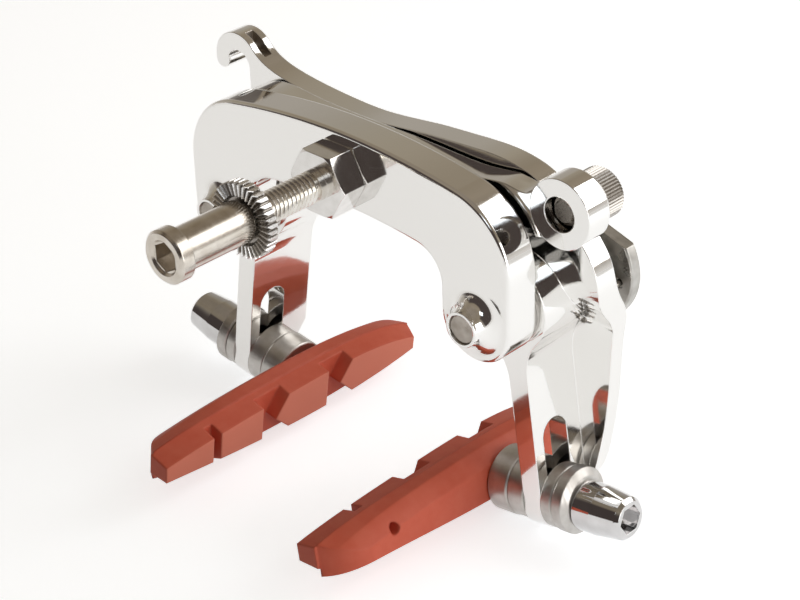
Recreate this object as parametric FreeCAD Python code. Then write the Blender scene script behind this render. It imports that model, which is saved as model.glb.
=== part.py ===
"""Centre-pull caliper brake for a bicycle, with two crossing arms on one back plate.

The frame is the brake as it is fitted: X runs across the wheel, +Y points away from the frame or
fork that carries the brake, and +Z is up. The origin is on the axis of the mounting stud, in the
rear face of its hexagonal collar. All sizes are in millimetres.
"""
import FreeCAD, Part
import math
import os

from FreeCAD import Vector as V

os.makedirs("parts", exist_ok=True)

# Mounting stud, M6, with the collar that bears on the back plate
STUD_RADIUS = 3.0
STUD_CHAMFER = 0.6
STUD_END_SPACE = 2.25
COLLAR_FLATS = 12.0
COLLAR_LENGTH = 5.75
COLLAR_CHAMFER = 0.7

# Clearances between pieces, and how far a cutter reaches past what it cuts
THREAD_CLEARANCE = 0.05
PRESS_CLEARANCE = 0.01
RUNNING_CLEARANCE = 0.05
SLIDE_CLEARANCE = 0.05
OVERCUT = 1.0

# Serrated washer and recessed nut that clamp the stud to the frame
CLAMP_SPAN = 16.25
SERRATED_RADIUS = 7.15
SERRATED_THICKNESS = 2.3
SERRATED_INNER = 5.2
TOOTH_COUNT = 36
TOOTH_DEPTH = 0.6
TOOTH_SHARE = 0.9
NUT_HEAD_RADIUS = 5.0
NUT_HEAD_LENGTH = 2.9
NUT_BARREL_RADIUS = 4.0
NUT_BARREL_LENGTH = 15.0
NUT_CHAMFER = 0.5
HEX_KEY = 5.0
KEY_DEPTH = 4.2
KEY_FLOOR = 1.0

# Back plate
PLATE_THICKNESS = 7.6
PLATE_TOP = 8.45
PLATE_TOP_RADIUS = 158.0
PLATE_BAND = 14.8
SHOULDER_RADIUS = 15.2
ARCH_CORNER_RADIUS = 6.8
LOBE_RADIUS = 8.0
PLATE_EDGE = 0.8
PIVOT_X = 32.8
PIVOT_Z = -18.6
BOSS_RADIUS = 3.4
BOSS_HEIGHT = 3.65

# Pivots
PIN_TAIL_RADIUS = 2.85
PIN_TAIL_SINK = 0.3
PIN_RADIUS = 4.0
BUSH_WALL = 1.2
THRUST_WASHER_THICKNESS = 0.8
THRUST_WASHER_RADIUS = 7.4

# Arms: two strips that cross side by side, a hub, and a lug with a front flange
STRIP_THICKNESS = 4.9
STRIP_GAP = 0.6
ARM_DEPTH = 16.2
FLANGE_THICKNESS = 3.2
STEP_HALF_HEIGHT = 8.0
STEP_LEAN = 1.0
HUB_RADIUS = 9.3
HUB_BLEND = 10.0
HUB_MEETS_STRIP = 150.0
LUG_TILT = 8.28
LUG_THICKNESS = 4.35
LUG_HALF_GAP = 37.65
POST_DROP = 60.0
POST_SETBACK = 5.85
LUG_FOOT_RADIUS = 6.1
LUG_FOOT_TURN = -35.0
SLOT_WIDTH = 6.6
SLOT_TRAVEL = 13.5

# Cable hook and cable anchor at the arm ends
HOOK_X = 41.5
HOOK_Z = 5.6
HOOK_OUTER = 5.9
HOOK_INNER = 3.1
HOOK_INNER_SHIFT = (0.5, -0.7)
HOOK_TIP_TURN = 196.0
HOOK_INNER_TIP_TURN = 158.0
HOOK_NECK_TURN = 38.0
HOOK_ROOT = (3.6, -2.0)
HOOK_NOSE_SHIFT = (-0.3, -0.7)
CABLE_SLOT = 1.9
CABLE_SLOT_START = (1.2, 2.2)
ANCHOR_X = 45.3
ANCHOR_Z = 4.1
ANCHOR_RADIUS = 6.6
ANCHOR_PROUD = 0.6
ANCHOR_BOSS_TURNS = (25.0, 300.0)
ANCHOR_HOLE = 3.3
ANCHOR_SHANK = 3.0
ANCHOR_SINK = 0.8
ANCHOR_HEAD_RADIUS = 5.0
ANCHOR_HEAD_LENGTH = 5.8
ANCHOR_HEAD_CHAMFER = 0.5
ANCHOR_KEY_DEPTH = 3.0
ANCHOR_WASHER_RADIUS = 5.6
ANCHOR_WASHER_THICKNESS = 1.2
KNURL_COUNT = 30
KNURL_SIZE = 0.55
KNURL_PROUD = 0.12
KNURL_START = 0.9

# Return spring and its adjuster in front of each arm
SPRING_SPACE = 5.0
SPRING_WIRE = 0.7
SPRING_RADIUS = 6.8
SPRING_HALF_TURNS = 3
SPRING_TAIL = 2.6
ADJUSTER_RADIUS = 12.1
ADJUSTER_FLATS = 18.0
ADJUSTER_TURN = -17.2
ADJUSTER_THICKNESS = 2.7
ADJUSTER_CHAMFER = 0.3
ADJUSTER_SLEEVE = 5.7
SPRING_HOLE_RADIUS = 9.1
SPRING_HOLE_TURN = -8.0
SPRING_HOLE_CLEARANCE = 0.3
ARM_WASHER_THICKNESS = 0.5
ARM_WASHER_RADIUS = 5.8
SCREW_HEAD_RADIUS = 5.2
SCREW_HEAD_LENGTH = 3.0
SCREW_HEAD_CHAMFER = 0.8
SCREW_RADIUS = 2.0
SCREW_LENGTH = 8.5
SCREW_HOLE_SPACE = 0.5
SCREW_KEY = 4.0
SCREW_KEY_DEPTH = 1.8

# Pad hardware along the post, from the pad out to the nut
POST_RADIUS = 3.0
POST_EMBED = 4.0
INNER_SPACER_RADIUS = 6.5
INNER_SPACER_LENGTH = 6.0
INNER_WASHER_THICKNESS = 2.75
WASHER_RADIUS = 6.3
WASHER_BORE = 3.75
WASHER_FLOAT = 0.6
OUTER_WASHER_THICKNESS = 2.5
OUTER_SPACER_THICKNESS = 3.3
OUTER_SPACER_RADIUS = 6.5
PAD_NUT_RADIUS = 4.85
PAD_NUT_TIP_RADIUS = 4.2
PAD_NUT_LENGTH = 10.45
PAD_NUT_TAPER_START = 0.42
PAD_NUT_THREAD_SHARE = 0.62
PAD_NUT_CHAMFER = 0.7
POST_NUT_SHARE = 0.6
SMALL_CHAMFER = 0.3
DOME_RADIUS = 11.0
DOME_BULGE = 0.9
OUTER_SPACER_BEVEL = (1.5, 0.9)

# Brake pad, with its friction block of four pieces; places along it are measured from the post
PAD_WIDTH = 10.5
BLOCK_THICKNESS = 4.7
GROOVE_DEPTH = 3.1
PAD_FRONT = 26.5
PAD_REAR = 45.8
PAD_END_ROUND = 8.0
PAD_END_FULLNESS = (0.37, 0.36)
BASE_SETBACK = 0.6
BLOCK_FRONT_SLANT = 2.9
BACK_ROLL = 2.7
BACK_ROLL_SHOULDER = (0.47, 0.1)
NARROW_GROOVE = (-33.6, -31.6)
PLOW_NOSES = (-16.7, 1.5)
PLOW_GROOVE_WIDTH = 3.7
PLOW_NOSE_HEIGHT = 2.7
PLOW_SPREAD = 10.0
PLOW_SLOPES = (0.85, 1.2)
MOULD_HOLE_PLACE = (-31.0, 4.6)
MOULD_HOLE_RADIUS = 1.15
MOULD_HOLE_DEPTH = 2.5

# Depths that follow from the sizes above
SOCKET_FLOOR = CLAMP_SPAN + SERRATED_THICKNESS + NUT_BARREL_LENGTH + NUT_HEAD_LENGTH - KEY_DEPTH
STUD_REACH = SOCKET_FLOOR - STUD_END_SPACE
PLATE_REAR = COLLAR_LENGTH
PLATE_FRONT = PLATE_REAR + PLATE_THICKNESS
HUB_REAR = PLATE_FRONT + THRUST_WASHER_THICKNESS
ARM_FRONT = HUB_REAR + ARM_DEPTH
FLANGE_REAR = ARM_FRONT - FLANGE_THICKNESS
POST_Y = HUB_REAR + POST_SETBACK
ADJUSTER_REAR = ARM_FRONT + SPRING_SPACE
ADJUSTER_FRONT = ADJUSTER_REAR + ADJUSTER_THICKNESS
HEAD_SEAT = ADJUSTER_FRONT + SLIDE_CLEARANCE
SPRING_TAIL_TURN = SPRING_HOLE_TURN + 180.0 * SPRING_HALF_TURNS
REACH = 200.0


def polar(x, z, radius, angle):
    """Point in the X-Z plane at an angle in degrees around (x, z)."""
    turn = math.radians(angle)
    return (x + radius * math.cos(turn), z + radius * math.sin(turn))


def point(place, y=0.0):
    return V(place[0], y, place[1])


def line(start, end):
    return Part.makeLine(point(start), point(end))


def arc(x, z, radius, start, end):
    """Arc in the X-Z plane about (x, z), between two angles in degrees."""
    places = [polar(x, z, radius, angle) for angle in (start, (start + end) / 2.0, end)]
    return Part.Arc(*[point(place) for place in places]).toShape()


def curve(places):
    """Smooth curve in the X-Z plane through the places given."""
    spline = Part.BSplineCurve()
    spline.interpolate([point(place) for place in places])
    return spline.toShape()


def slab(edges, rear, front):
    """Solid between two depths, with the closed outline that the edges make."""
    face = Part.Face(Part.Wire(Part.__sortEdges__(edges)))
    face.translate(V(0, rear, 0))
    return face.extrude(V(0, front - rear, 0))


def cylinder(radius, rear, front, x=0.0, z=0.0):
    return Part.makeCylinder(radius, front - rear, V(x, rear, z), V(0, 1, 0))


def turned(profile, x=0.0, z=0.0):
    """Solid turned about a line along Y, from (radius, depth) pairs."""
    corners = [V(x + radius, depth, z) for radius, depth in profile]
    face = Part.Face(Part.makePolygon(corners + corners[:1]))
    return face.revolve(V(x, 0, z), V(0, 1, 0), 360)


def prism(flats, sides, rear, front, x=0.0, z=0.0, turn=0.0):
    """Regular prism along Y, measured across its flats; turn is the angle of its first corner."""
    corner = flats / 2.0 / math.cos(math.pi / sides)
    places = [polar(x, z, corner, turn + 360.0 * step / sides) for step in range(sides + 1)]
    face = Part.Face(Part.makePolygon([point(place, rear) for place in places]))
    return face.extrude(V(0, front - rear, 0))


def mirrored(shape):
    return shape.mirror(V(0, 0, 0), V(1, 0, 0))


def save(name, shape):
    shape.exportStep("parts/" + name + ".step")


def back_plate():
    """Forged plate with a low arch, and a lobe at each end that carries a pivot pin."""
    half_width = PIVOT_X + LOBE_RADIUS
    top_centre = PLATE_TOP - PLATE_TOP_RADIUS
    shoulder_x = half_width - SHOULDER_RADIUS
    shoulder_z = top_centre + math.sqrt((PLATE_TOP_RADIUS - SHOULDER_RADIUS) ** 2 - shoulder_x ** 2)
    shoulder_angle = math.degrees(math.atan2(shoulder_z - top_centre, shoulder_x))
    arch_radius = PLATE_TOP_RADIUS - PLATE_BAND
    inner_x = PIVOT_X - LOBE_RADIUS
    corner_x = inner_x - ARCH_CORNER_RADIUS
    corner_z = top_centre + math.sqrt((arch_radius - ARCH_CORNER_RADIUS) ** 2 - corner_x ** 2)
    corner_angle = math.degrees(math.atan2(corner_z - top_centre, corner_x))
    half = [
        arc(0, top_centre, PLATE_TOP_RADIUS, 90, shoulder_angle),
        arc(shoulder_x, shoulder_z, SHOULDER_RADIUS, shoulder_angle, 0),
        line((half_width, shoulder_z), (half_width, PIVOT_Z)),
        arc(PIVOT_X, PIVOT_Z, LOBE_RADIUS, 0, -180),
        line((inner_x, PIVOT_Z), (inner_x, corner_z)),
        arc(corner_x, corner_z, ARCH_CORNER_RADIUS, 0, corner_angle),
        arc(0, top_centre, arch_radius, corner_angle, 90),
    ]
    plate = slab(half + [mirrored(edge) for edge in half], PLATE_REAR, PLATE_FRONT)
    rims = [edge for edge in plate.Edges if edge.BoundBox.YLength < 0.01]
    plate = plate.makeFillet(PLATE_EDGE, rims)
    boss_face = PLATE_REAR - BOSS_HEIGHT
    flare_base = BOSS_RADIUS + BOSS_HEIGHT
    root = PLATE_REAR + OVERCUT
    for side in (-1, 1):
        x = side * PIVOT_X
        rim = V(x + BOSS_RADIUS, boss_face, PIVOT_Z)
        foot = V(x + flare_base, PLATE_REAR, PIVOT_Z)
        bend = BOSS_HEIGHT * math.sqrt(0.5)
        middle = V(x + flare_base - bend, boss_face + bend, PIVOT_Z)
        profile = Part.Wire([
            Part.Arc(foot, middle, rim).toShape(),
            Part.makeLine(rim, V(x, boss_face, PIVOT_Z)),
            Part.makeLine(V(x, boss_face, PIVOT_Z), V(x, root, PIVOT_Z)),
            Part.makeLine(V(x, root, PIVOT_Z), V(x + flare_base, root, PIVOT_Z)),
            Part.makeLine(V(x + flare_base, root, PIVOT_Z), foot),
        ])
        flare = Part.Face(profile).revolve(V(x, 0, PIVOT_Z), V(0, 1, 0), 360)
        plate = plate.fuse(flare)
        plate = plate.cut(cylinder(PIN_TAIL_RADIUS + PRESS_CLEARANCE, 0, REACH, x, PIVOT_Z))
    plate = plate.cut(cylinder(STUD_RADIUS + PRESS_CLEARANCE, 0, REACH))
    return plate.removeSplitter()


def mounting_stud():
    """Threaded stud with its hexagonal collar; its front end is screwed into the plate."""
    tip = STUD_RADIUS - STUD_CHAMFER
    thread = turned([
        (0, -STUD_REACH), (tip, -STUD_REACH), (STUD_RADIUS, STUD_CHAMFER - STUD_REACH),
        (STUD_RADIUS, PLATE_FRONT - STUD_CHAMFER), (tip, PLATE_FRONT), (0, PLATE_FRONT)])
    corner = COLLAR_FLATS / math.sqrt(3.0)
    face = corner - COLLAR_CHAMFER
    blank = turned([
        (0, 0), (face, 0), (corner, COLLAR_CHAMFER / 2), (corner, COLLAR_LENGTH - COLLAR_CHAMFER / 2),
        (face, COLLAR_LENGTH), (0, COLLAR_LENGTH)])
    collar = prism(COLLAR_FLATS, 6, 0, COLLAR_LENGTH).common(blank)
    return thread.fuse(collar).removeSplitter()


def serrated_washer():
    """Washer with a ring of radial teeth that bite into the frame."""
    front = -CLAMP_SPAN
    rear = front - SERRATED_THICKNESS
    disc = turned([
        (STUD_RADIUS + RUNNING_CLEARANCE, front), (STUD_RADIUS + RUNNING_CLEARANCE, rear + TOOTH_DEPTH),
        (SERRATED_INNER, rear + TOOTH_DEPTH), (SERRATED_INNER, rear), (SERRATED_RADIUS, rear),
        (SERRATED_RADIUS, front)])
    pitch = 360.0 / TOOTH_COUNT
    half = SERRATED_RADIUS * math.radians(pitch) * TOOTH_SHARE / 2.0
    inner = SERRATED_INNER - OVERCUT
    outer = SERRATED_RADIUS + OVERCUT
    mouth = rear - PRESS_CLEARANCE
    groove = Part.Face(Part.makePolygon([
        V(inner, mouth, -half), V(inner, mouth, half), V(inner, rear + TOOTH_DEPTH, 0),
        V(inner, mouth, -half)])).extrude(V(outer - inner, 0, 0))
    grooves = []
    for step in range(TOOTH_COUNT):
        tooth = groove.copy()
        tooth.rotate(V(0, 0, 0), V(0, 1, 0), step * pitch)
        grooves.append(tooth)
    return disc.cut(grooves)


def recessed_nut():
    """Long cap nut for the stud, with a hexagonal key socket in its head."""
    front = -CLAMP_SPAN - SERRATED_THICKNESS - SLIDE_CLEARANCE
    shoulder = front - NUT_BARREL_LENGTH
    rear = shoulder - NUT_HEAD_LENGTH
    bore = STUD_RADIUS + THREAD_CLEARANCE
    bore_end = rear + KEY_DEPTH + KEY_FLOOR
    edge = NUT_CHAMFER / 2
    lip = HEX_KEY / math.sqrt(3.0) + NUT_CHAMFER
    body = turned([
        (bore, front), (NUT_BARREL_RADIUS - edge, front), (NUT_BARREL_RADIUS, front - edge),
        (NUT_BARREL_RADIUS, shoulder), (NUT_HEAD_RADIUS, shoulder), (NUT_HEAD_RADIUS, rear + NUT_CHAMFER),
        (NUT_HEAD_RADIUS - NUT_CHAMFER, rear), (lip, rear), (lip - NUT_CHAMFER, rear + NUT_CHAMFER),
        (0, rear + NUT_CHAMFER), (0, bore_end), (bore, bore_end)])
    socket = prism(HEX_KEY, 6, rear - OVERCUT, rear + KEY_DEPTH, turn=30)
    return body.cut(socket)


def lug(outward, up):
    """Place in the X-Z plane, measured from the post on the lug's tilted inner face."""
    tilt = math.radians(LUG_TILT)
    return (
        LUG_HALF_GAP + outward * math.cos(tilt) - up * math.sin(tilt),
        -POST_DROP + outward * math.sin(tilt) + up * math.cos(tilt))


def on_post(shape):
    """Moves a shape from the post's own frame, X outward along the post, to its place."""
    placed = shape.copy()
    placed.rotate(V(0, 0, 0), V(0, 1, 0), -LUG_TILT)
    placed.translate(V(LUG_HALF_GAP, POST_Y, -POST_DROP))
    return placed


def post_turned(profile, rise=0.0):
    """Solid turned about the post, or a line above it, from (radius, distance outward) pairs."""
    shape = turned(profile, z=rise)
    shape.rotate(V(0, 0, 0), V(0, 0, 1), -90)
    return on_post(shape)


def hub_in_lug_frame():
    """The pivot's place in the lug's own frame: outward and up."""
    tilt = math.radians(LUG_TILT)
    across = PIVOT_X - LUG_HALF_GAP
    rise = PIVOT_Z + POST_DROP
    outward = across * math.cos(tilt) + rise * math.sin(tilt)
    up = rise * math.cos(tilt) - across * math.sin(tilt)
    return outward, up


def blend_onto_hub(face, direction):
    """Tangent arc between one face of the lug and the hub: its start height, and its edge."""
    hub_out, hub_up = hub_in_lug_frame()
    centre_out = face + direction * HUB_BLEND
    reach = HUB_RADIUS + HUB_BLEND
    centre_up = hub_up - math.sqrt(reach ** 2 - (centre_out - hub_out) ** 2)
    centre = lug(centre_out, centre_up)
    start = lug(face, centre_up)
    share = HUB_BLEND / reach
    end = (centre[0] + (PIVOT_X - centre[0]) * share, centre[1] + (PIVOT_Z - centre[1]) * share)
    chord = ((start[0] + end[0]) / 2 - centre[0], (start[1] + end[1]) / 2 - centre[1])
    scale = HUB_BLEND / math.hypot(*chord)
    middle = (centre[0] + chord[0] * scale, centre[1] + chord[1] * scale)
    edge = Part.Arc(point(start), point(middle), point(end)).toShape()
    return start, end, edge


def hub_and_lug():
    """Hub and lug over the arm's whole depth, with the foot of the lug rounded about the post."""
    outer_start, outer_end, outer_blend = blend_onto_hub(LUG_THICKNESS, 1)
    inner_start, inner_end, inner_blend = blend_onto_hub(0.0, -1)
    outer_angle = math.degrees(math.atan2(outer_end[1] - PIVOT_Z, outer_end[0] - PIVOT_X))
    inner_angle = math.degrees(math.atan2(inner_end[1] - PIVOT_Z, inner_end[0] - PIVOT_X)) + 360
    foot = -LUG_FOOT_RADIUS
    outline = [
        line(lug(0, foot), lug(LUG_THICKNESS, foot)),
        line(lug(LUG_THICKNESS, foot), outer_start),
        outer_blend,
        arc(PIVOT_X, PIVOT_Z, HUB_RADIUS, outer_angle, inner_angle),
        inner_blend,
        line(inner_start, lug(0, foot)),
    ]
    return slab(outline, HUB_REAR, ARM_FRONT)


def foot_cut():
    """What the rounded foot of the lug leaves away, in the lug's own frame."""
    front = ARM_FRONT - POST_Y + OVERCUT
    rear = -LUG_FOOT_RADIUS - OVERCUT
    low = -4 * LUG_FOOT_RADIUS
    turn = math.radians(LUG_FOOT_TURN)
    tangent = V(0, LUG_FOOT_RADIUS * math.cos(turn), LUG_FOOT_RADIUS * math.sin(turn))
    slope = V(0, -math.sin(turn), math.cos(turn))
    top = tangent + slope * ((front - tangent.y) / slope.y)
    waste = Part.Wire([
        Part.Arc(V(0, -LUG_FOOT_RADIUS, 0), V(0, 0, -LUG_FOOT_RADIUS), tangent).toShape(),
        Part.makeLine(tangent, top),
        Part.makeLine(top, V(0, front, low)),
        Part.makeLine(V(0, front, low), V(0, rear, low)),
        Part.makeLine(V(0, rear, low), V(0, rear, 0)),
        Part.makeLine(V(0, rear, 0), V(0, -LUG_FOOT_RADIUS, 0)),
    ])
    block = Part.Face(waste).extrude(V(REACH, 0, 0))
    block.translate(V(-REACH / 2, 0, 0))
    return on_post(block)


def slot_cut():
    """Upright slot for the post, open through the lug."""
    radius = SLOT_WIDTH / 2
    inside = -2 * LUG_THICKNESS
    length = 6 * LUG_THICKNESS
    low = Part.makeCylinder(radius, length, V(inside, 0, 0), V(1, 0, 0))
    high = Part.makeCylinder(radius, length, V(inside, 0, SLOT_TRAVEL), V(1, 0, 0))
    middle = Part.makeBox(length, SLOT_WIDTH, SLOT_TRAVEL, V(inside, -radius, 0))
    return on_post(low.fuse([high, middle]))


def depth_band(strip_rear):
    """Band that a strip follows: flat behind, then stepping forward to the front flange."""
    strip_front = strip_rear + STRIP_THICKNESS
    top = REACH / 2
    low = -REACH / 2
    rear_middle = PIVOT_Z - STEP_LEAN
    front_middle = PIVOT_Z + STEP_LEAN

    def step(depth_high, depth_low, middle):
        high = middle + STEP_HALF_HEIGHT
        below = middle - STEP_HALF_HEIGHT
        bend = Part.BezierCurve()
        bend.setPoles([V(0, depth_high, high), V(0, depth_high, middle), V(0, depth_low, middle),
                       V(0, depth_low, below)])
        return [
            Part.makeLine(V(0, depth_high, top), V(0, depth_high, high)),
            bend.toShape(),
            Part.makeLine(V(0, depth_low, below), V(0, depth_low, low)),
        ]

    rear = step(strip_rear, FLANGE_REAR, rear_middle)
    front = step(strip_front, ARM_FRONT, front_middle)
    ends = [
        Part.makeLine(V(0, strip_rear, top), V(0, strip_front, top)),
        Part.makeLine(V(0, FLANGE_REAR, low), V(0, ARM_FRONT, low)),
    ]
    face = Part.Face(Part.Wire(Part.__sortEdges__(rear + front + ends)))
    face.translate(V(-REACH / 2, 0, 0))
    return face.extrude(V(REACH, 0, 0))


FLANGE_EDGE = [
    (49.4, -12.8), (48.7, -19.0), (47.3, -26.0), (46.9, -34.0), (46.3, -43.0), (44.9, -52.0), (43.2, -59.5)]
STRIP_UNDERSIDE = [(19.5, -8.2), (10.0, -6.2), (0.0, -5.4), (-12.0, -4.9), (-25.0, -4.4), (-33.0, -4.0)]


def arm_sheet(top, end_edges, end_start, end_finish, strip_rear):
    """The strip, its shoulder and the front flange as one stepped plate."""
    foot = -LUG_FOOT_RADIUS
    hub_side = polar(PIVOT_X, PIVOT_Z, HUB_RADIUS, HUB_MEETS_STRIP)
    inner_start, inner_end, inner_blend = blend_onto_hub(0.0, -1)
    inner_angle = math.degrees(math.atan2(inner_end[1] - PIVOT_Z, inner_end[0] - PIVOT_X)) + 360
    outline = [
        curve([end_start] + top + FLANGE_EDGE),
        line(FLANGE_EDGE[-1], lug(LUG_THICKNESS, foot)),
        line(lug(LUG_THICKNESS, foot), lug(0, foot)),
        line(lug(0, foot), inner_start),
        inner_blend,
        arc(PIVOT_X, PIVOT_Z, HUB_RADIUS, inner_angle, HUB_MEETS_STRIP),
        curve([hub_side] + STRIP_UNDERSIDE + [end_finish]),
    ] + end_edges
    return slab(outline, 0, REACH).common(depth_band(strip_rear))


def hook_end():
    """Open hook that takes the cable's end; edges from the strip's underside round to its top."""
    inner_x = -HOOK_X + HOOK_INNER_SHIFT[0]
    inner_z = HOOK_Z + HOOK_INNER_SHIFT[1]
    low = (-HOOK_X + HOOK_ROOT[0], HOOK_ROOT[1])
    start = (inner_x + HOOK_INNER, inner_z)
    inner_tip = polar(inner_x, inner_z, HOOK_INNER, HOOK_INNER_TIP_TURN)
    outer_tip = polar(-HOOK_X, HOOK_Z, HOOK_OUTER, HOOK_TIP_TURN)
    outer_end = polar(-HOOK_X, HOOK_Z, HOOK_OUTER, HOOK_NECK_TURN)
    nose_x = (inner_tip[0] + outer_tip[0]) / 2 + HOOK_NOSE_SHIFT[0]
    nose_z = min(inner_tip[1], outer_tip[1]) + HOOK_NOSE_SHIFT[1]
    edges = [
        line(low, start),
        arc(inner_x, inner_z, HOOK_INNER, 0, HOOK_INNER_TIP_TURN),
        Part.Arc(point(inner_tip), point((nose_x, nose_z)), point(outer_tip)).toShape(),
        arc(-HOOK_X, HOOK_Z, HOOK_OUTER, HOOK_TIP_TURN, HOOK_NECK_TURN),
    ]
    return edges, outer_end, low


def finish_arm(sheet):
    """Joins strip and hub, then cuts the foot, the slot, the bush's bore and the spring's hole."""
    arm = sheet.fuse(hub_and_lug())
    arm = arm.cut(foot_cut())
    arm = arm.cut(slot_cut())
    bore = PIN_RADIUS + RUNNING_CLEARANCE + BUSH_WALL + PRESS_CLEARANCE
    arm = arm.cut(cylinder(bore, 0, REACH, PIVOT_X, PIVOT_Z))
    x, z = polar(PIVOT_X, PIVOT_Z, SPRING_RADIUS, SPRING_TAIL_TURN)
    hole_rear = ARM_FRONT - SPRING_TAIL - SLIDE_CLEARANCE
    arm = arm.cut(cylinder(SPRING_WIRE + SLIDE_CLEARANCE, hole_rear, REACH, x, z))
    return arm.removeSplitter()


def hook_arm():
    """Arm with its pad at the right; its strip crosses in front and ends in the cable hook."""
    strip_rear = HUB_REAR + STRIP_THICKNESS + STRIP_GAP
    edges, start, finish = hook_end()
    top = [
        (-33.9, 7.2), (-29.2, 5.8), (-23.8, 5.0), (-18.3, 4.5), (-13.0, 4.2), (-7.6, 4.1), (-2.4, 4.4),
        (2.8, 5.0), (8.5, 5.7), (17.5, 6.4), (26.0, 6.8), (31.5, 6.2), (35.7, 4.8), (40.8, 0.6),
        (45.8, -4.6), (48.2, -8.0)]
    arm = finish_arm(arm_sheet(top, edges, start, finish, strip_rear))
    slot_rear = strip_rear + (STRIP_THICKNESS - CABLE_SLOT) / 2
    start_x, start_z = CABLE_SLOT_START
    slot = Part.makeBox(2 * HOOK_OUTER, CABLE_SLOT, 2 * HOOK_OUTER,
                        V(-HOOK_X + start_x, slot_rear, HOOK_Z + start_z))
    return arm.cut(slot)


def anchor_arm():
    """Arm with its pad at the left; its strip crosses behind and ends in the cable anchor boss."""
    start_turn, finish_turn = ANCHOR_BOSS_TURNS
    start = polar(-ANCHOR_X, ANCHOR_Z, ANCHOR_RADIUS, start_turn)
    finish = polar(-ANCHOR_X, ANCHOR_Z, ANCHOR_RADIUS, finish_turn)
    end_edges = [arc(-ANCHOR_X, ANCHOR_Z, ANCHOR_RADIUS, start_turn, finish_turn)]
    top = [
        (-37.0, 5.3), (-33.0, 5.6), (-29.5, 5.3), (-24.8, 4.7), (-18.0, 4.6), (-10.0, 4.8), (0.0, 4.8),
        (12.0, 4.8), (20.0, 5.2), (27.5, 5.5), (31.0, 4.6), (34.5, 2.6), (38.0, 0.6), (42.0, -1.9),
        (46.0, -4.6), (48.2, -8.0)]
    arm = finish_arm(arm_sheet(top, end_edges, start, finish, HUB_REAR))
    rear = HUB_REAR - ANCHOR_PROUD
    front = HUB_REAR + STRIP_THICKNESS
    arm = arm.fuse(cylinder(ANCHOR_RADIUS, rear, front, -ANCHOR_X, ANCHOR_Z))
    arm = arm.cut(cylinder(ANCHOR_HOLE, 0, REACH, -ANCHOR_X, ANCHOR_Z))
    return mirrored(arm.removeSplitter())


def anchor_bolt():
    """Cable anchor bolt with a knurled head and a key socket."""
    rear = HUB_REAR - ANCHOR_PROUD + ANCHOR_SINK
    seat = HUB_REAR + STRIP_THICKNESS + ANCHOR_WASHER_THICKNESS
    front = seat + ANCHOR_HEAD_LENGTH
    edge = ANCHOR_HEAD_CHAMFER
    body = turned([
        (0, rear), (ANCHOR_SHANK - edge, rear), (ANCHOR_SHANK, rear + edge), (ANCHOR_SHANK, seat),
        (ANCHOR_HEAD_RADIUS, seat), (ANCHOR_HEAD_RADIUS, front - edge), (ANCHOR_HEAD_RADIUS - edge, front),
        (0, front)], ANCHOR_X, ANCHOR_Z)
    flutes = []
    for step in range(KNURL_COUNT):
        turn = 360.0 * step / KNURL_COUNT
        x, z = polar(ANCHOR_X, ANCHOR_Z, ANCHOR_HEAD_RADIUS + KNURL_PROUD, turn)
        flutes.append(prism(KNURL_SIZE, 4, seat + KNURL_START, front + OVERCUT, x, z, turn))
    body = body.cut(flutes)
    return body.cut(prism(HEX_KEY, 6, front - ANCHOR_KEY_DEPTH, front + OVERCUT, ANCHOR_X, ANCHOR_Z))


def ring(outer, inner, rear, front, x=0.0, z=0.0):
    return turned([(inner, rear), (outer, rear), (outer, front), (inner, front)], x, z)


def pivot_pin():
    """Shouldered pin riveted into the plate; the arm and the adjuster turn on it."""
    tail_end = PLATE_REAR - BOSS_HEIGHT + PIN_TAIL_SINK
    edge = SMALL_CHAMFER
    hole = SCREW_RADIUS + PRESS_CLEARANCE
    hole_end = HEAD_SEAT - SCREW_LENGTH - SCREW_HOLE_SPACE
    return turned([
        (0, tail_end), (PIN_TAIL_RADIUS - edge, tail_end), (PIN_TAIL_RADIUS, tail_end + edge),
        (PIN_TAIL_RADIUS, PLATE_FRONT), (PIN_RADIUS, PLATE_FRONT), (PIN_RADIUS, HEAD_SEAT),
        (hole, HEAD_SEAT), (hole, hole_end), (0, hole_end - hole / 2)], PIVOT_X, PIVOT_Z)


def spring_adjuster():
    """Disc with two spanner flats and a sleeve; it holds the spring's front leg."""
    bore = PIN_RADIUS + RUNNING_CLEARANCE
    sleeve_rear = ARM_FRONT + ARM_WASHER_THICKNESS + SLIDE_CLEARANCE
    edge = ADJUSTER_CHAMFER
    disc = turned([
        (bore, sleeve_rear), (ADJUSTER_SLEEVE, sleeve_rear), (ADJUSTER_SLEEVE, ADJUSTER_REAR),
        (ADJUSTER_RADIUS - edge, ADJUSTER_REAR), (ADJUSTER_RADIUS, ADJUSTER_REAR + edge),
        (ADJUSTER_RADIUS, ADJUSTER_FRONT - edge), (ADJUSTER_RADIUS - edge, ADJUSTER_FRONT),
        (bore, ADJUSTER_FRONT)], PIVOT_X, PIVOT_Z)
    for side in (-1, 1):
        waste = Part.makeBox(4 * ADJUSTER_RADIUS, 2 * SPRING_SPACE, ADJUSTER_RADIUS,
                             V(-2 * ADJUSTER_RADIUS, ADJUSTER_REAR - SPRING_WIRE / 2, ADJUSTER_FLATS / 2))
        waste.rotate(V(0, 0, 0), V(0, 1, 0), -ADJUSTER_TURN + (0 if side > 0 else 180))
        waste.translate(V(PIVOT_X, 0, PIVOT_Z))
        disc = disc.cut(waste)
    x, z = polar(PIVOT_X, PIVOT_Z, SPRING_HOLE_RADIUS, SPRING_HOLE_TURN)
    hole = SPRING_WIRE + SPRING_HOLE_CLEARANCE
    return disc.cut(cylinder(hole, ADJUSTER_REAR - OVERCUT, ADJUSTER_FRONT + OVERCUT, x, z))


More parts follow.
